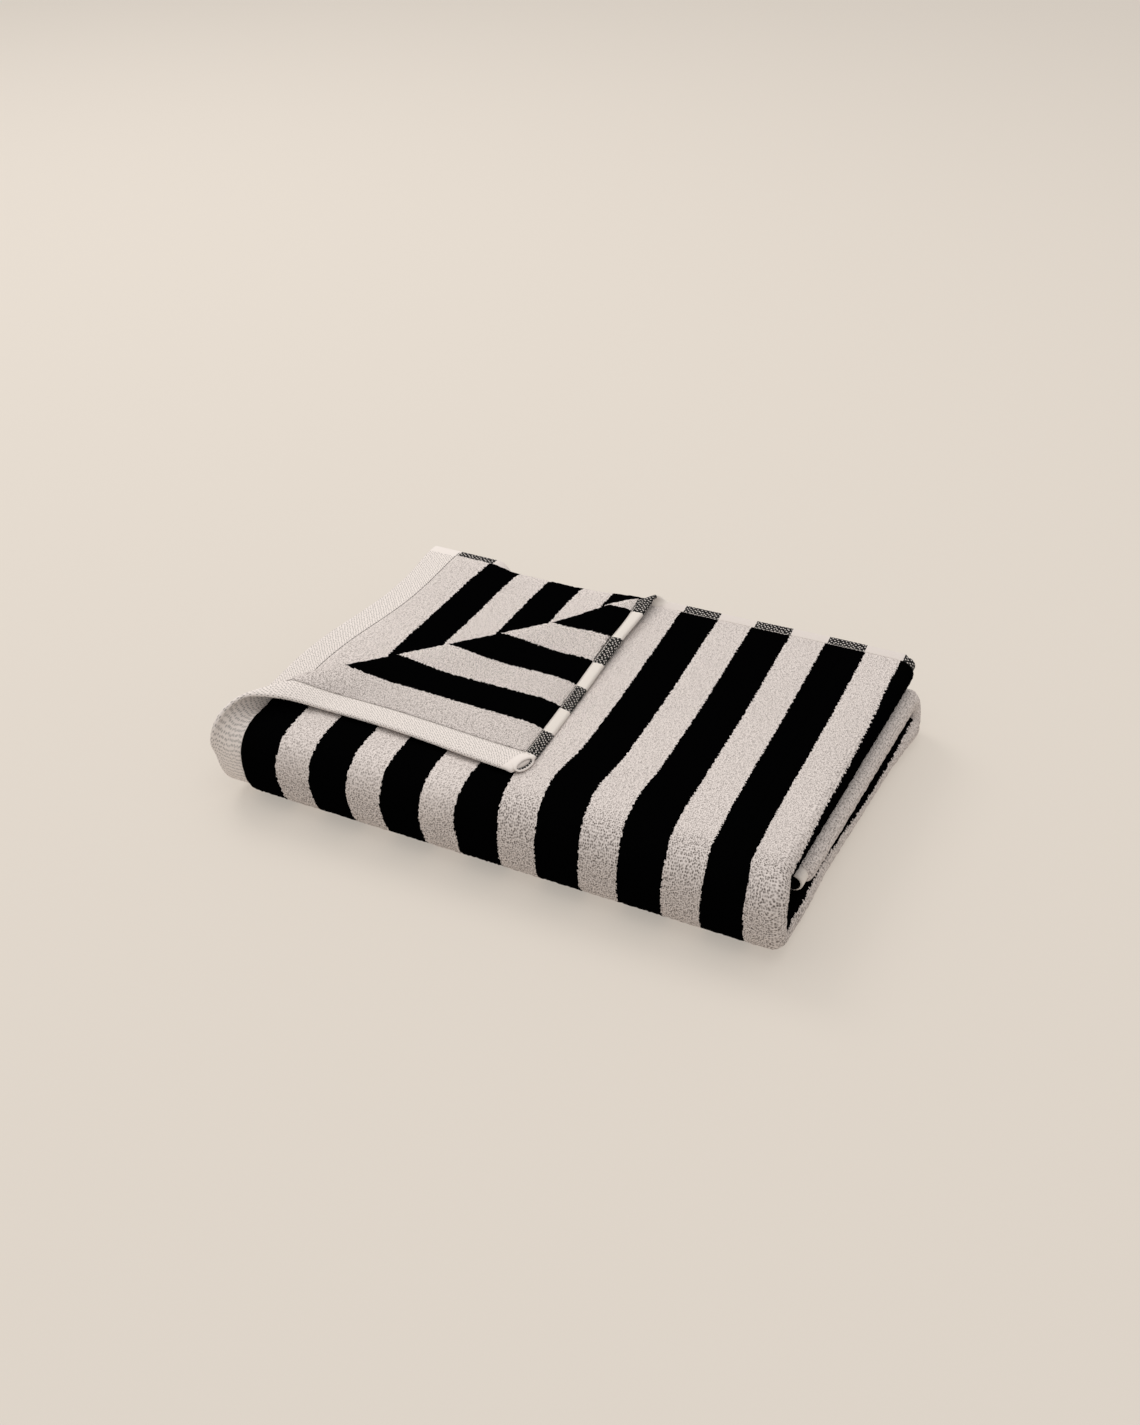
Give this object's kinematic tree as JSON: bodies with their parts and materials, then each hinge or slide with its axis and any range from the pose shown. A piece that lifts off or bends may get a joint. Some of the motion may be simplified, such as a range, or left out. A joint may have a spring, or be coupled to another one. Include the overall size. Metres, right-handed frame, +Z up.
{
  "type": "hooded baby towel",
  "caption": "Folded square terry towel with wide stripes, flat woven hems and a hooded corner turned back over the top leaf.",
  "frame": {"origin": "on the ground, under the middle of the folded towel's bounding box", "axes": "+X to the right along the front fold, +Y from the front fold to the back fold, +Z up"},
  "size_m": [0.384, 0.25, 0.0615],
  "materials": {
    "towel_terry": "looped cotton terry, matte, woven in black and off-white stripes",
    "side_fold_terry": "looped cotton terry at the right-hand folds, matte",
    "hood_terry": "looped cotton terry, matte, woven in black and off-white stripes",
    "side_hem_weave": "plain woven cotton band, matte",
    "end_hem_weave": "flat woven cotton, black and white tweed beside plain off-white blocks",
    "hem_thread": "cotton sewing thread"
  },
  "bodies": {
    "folded_stack": {"bottom_leaf_outer": "towel_terry", "bottom_leaf_inner": "towel_terry", "bottom_side_fold": "side_fold_terry", "middle_leaf_lower": "towel_terry", "middle_leaf_upper": "towel_terry", "middle_side_fold": "side_fold_terry", "front_fold_outer": "towel_terry", "front_fold_inner": "towel_terry", "front_side_fold": "side_fold_terry", "back_fold_outer": "towel_terry", "back_fold_inner": "towel_terry", "back_side_fold": "side_fold_terry", "outer_side_hem": "side_hem_weave", "inner_side_hem": "side_hem_weave", "tucked_end_hem_lower": "end_hem_weave", "tucked_end_hem_upper": "end_hem_weave"},
    "top_leaf": {"top_leaf_outer": "towel_terry", "top_leaf_inner": "towel_terry", "top_side_fold": "side_fold_terry", "end_hem_outer": "end_hem_weave", "end_hem_inner": "end_hem_weave", "top_side_hem_inner": "side_hem_weave", "top_side_hem_outer": "side_hem_weave", "side_hem_stitching": "hem_thread", "end_hem_stitching": "hem_thread"},
    "hood_corner": {"corner_backing": "towel_terry", "hood_panel": "hood_terry", "corner_side_hem": "side_hem_weave", "corner_end_hem": "end_hem_weave", "corner_side_stitching": "hem_thread", "corner_end_stitching": "hem_thread"}
  },
  "joints": [
    {"name": "top_leaf_fold", "type": "hinge", "parent": "folded_stack", "child": "top_leaf", "pos_m": [0, -0.0976, 0.055], "axis": [1, 0, 0], "range_deg": [0, 150]},
    {"name": "hood_corner_fold", "type": "hinge", "parent": "top_leaf", "child": "hood_corner", "pos_m": [-0.08975, 0.01775, 0.055], "axis": [-0.7071, -0.7071, 0], "range_deg": [0, 180]}
  ]
}
